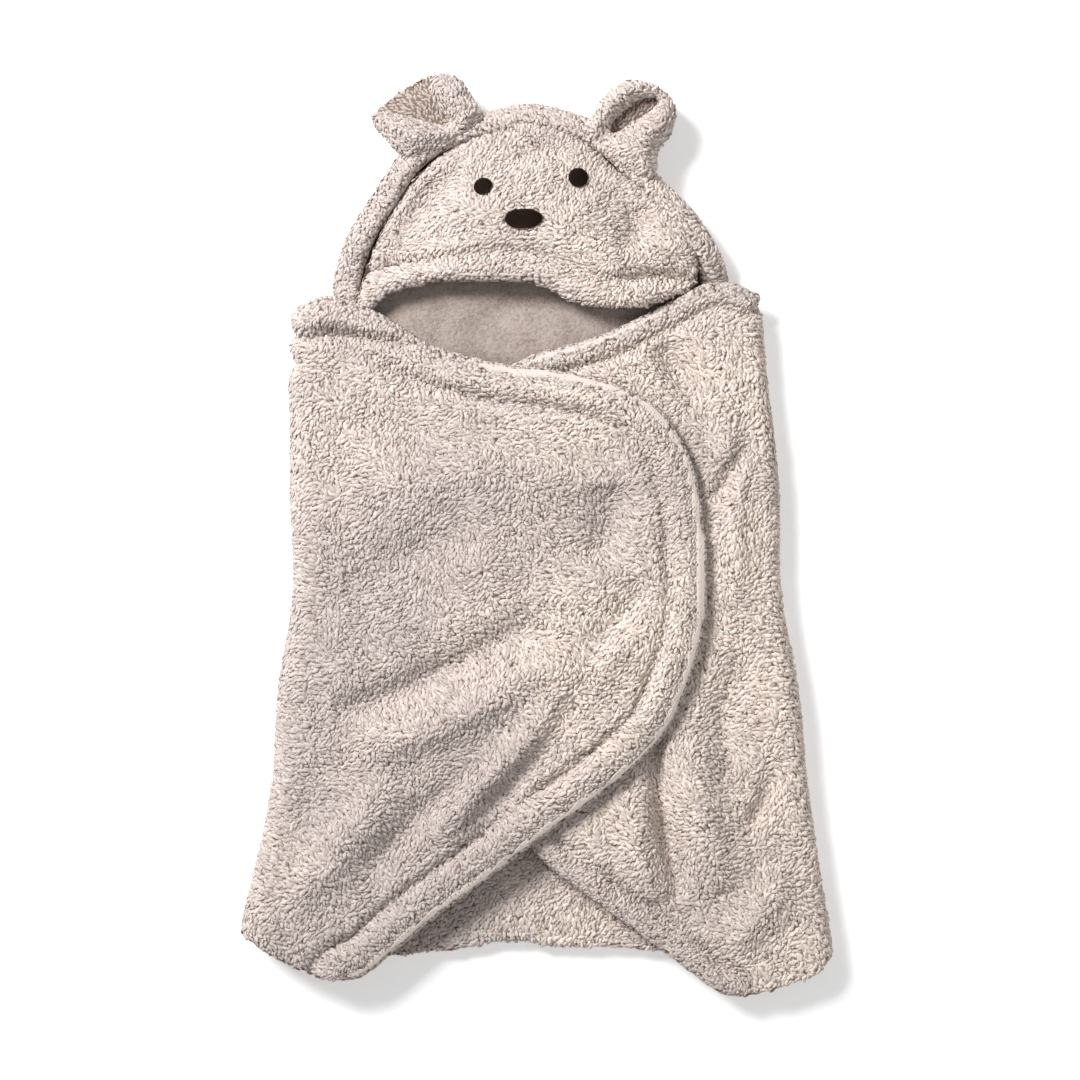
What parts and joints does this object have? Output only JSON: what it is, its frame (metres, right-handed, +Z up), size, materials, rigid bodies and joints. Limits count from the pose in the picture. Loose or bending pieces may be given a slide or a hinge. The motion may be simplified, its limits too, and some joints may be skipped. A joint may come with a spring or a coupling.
{
  "type": "hooded baby towel",
  "caption": "Hooded baby wrap of curly fleece with bear ears, laid flat with its two front flaps folded closed and its hood open.",
  "frame": {"origin": "on the surface that the wrap lies on, under the middle of its box", "axes": "+Y from the feet to the hood along the longest extent, +Z up out of the front along the shortest extent, +X to the right of someone looking down at the front"},
  "size_m": [0.5, 0.7894, 0.044],
  "materials": {
    "fleece": "curly sherpa pile, matt",
    "hem_fleece": "short lighter fleece, matt",
    "lining": "smooth short-nap fleece, matt",
    "stitching": "satin stitch embroidery, soft sheen"
  },
  "bodies": {
    "back": {"back_panel": "fleece", "back_lining": "lining", "back_hem": "hem_fleece", "left_side_fold": "fleece", "right_side_fold": "fleece", "neck_band": "lining"},
    "left_wrap": {"left_wrap_panel": "fleece", "left_wrap_lining": "lining", "left_wrap_hem": "hem_fleece"},
    "right_wrap": {"right_wrap_panel": "fleece", "right_wrap_lining": "lining", "right_wrap_hem": "hem_fleece"},
    "hood": {"hood_rim": "fleece", "hood_back_panel": "fleece", "hood_back_lining": "lining", "hood_face_panel": "fleece", "hood_face_lining": "lining", "hood_hem": "hem_fleece", "eye_left": "stitching", "eye_right": "stitching", "nose": "stitching"},
    "ear_left": {"ear_left_back": "fleece", "ear_left_front": "hem_fleece"},
    "ear_right": {"ear_right_back": "fleece", "ear_right_front": "hem_fleece"}
  },
  "joints": [
    {"name": "left_wrap_open", "type": "hinge", "parent": "back", "child": "left_wrap", "pos_m": [-0.22869, -0.35251, 0.0214], "axis": [-0.0914, -0.9958, 0], "range_deg": [0, 175], "deforming": ["left_side_fold"]},
    {"name": "right_wrap_open", "type": "hinge", "parent": "back", "child": "right_wrap", "pos_m": [0.23476, -0.35195, 0.0153], "axis": [-0.0914, 0.9958, 0], "range_deg": [0, 70], "deforming": ["right_side_fold"]},
    {"name": "hood_raise", "type": "hinge", "parent": "back", "child": "hood", "pos_m": [0, 0.1975, 0.0445], "axis": [1, 0, 0], "range_deg": [0, 90], "deforming": ["neck_band"]},
    {"name": "ear_left_fold", "type": "hinge", "parent": "hood", "child": "ear_left", "pos_m": [-0.07874, 0.34169, 0.0355], "axis": [0.821, 0.571, 0], "range_deg": [0, 90]},
    {"name": "ear_right_fold", "type": "hinge", "parent": "hood", "child": "ear_right", "pos_m": [0.06981, 0.34094, 0.0355], "axis": [0.8174, -0.5761, 0], "range_deg": [0, 90]}
  ],
  "couplings": [
    {"joint": "right_wrap_open", "follows": "left_wrap_open", "ratio": 0.4}
  ]
}
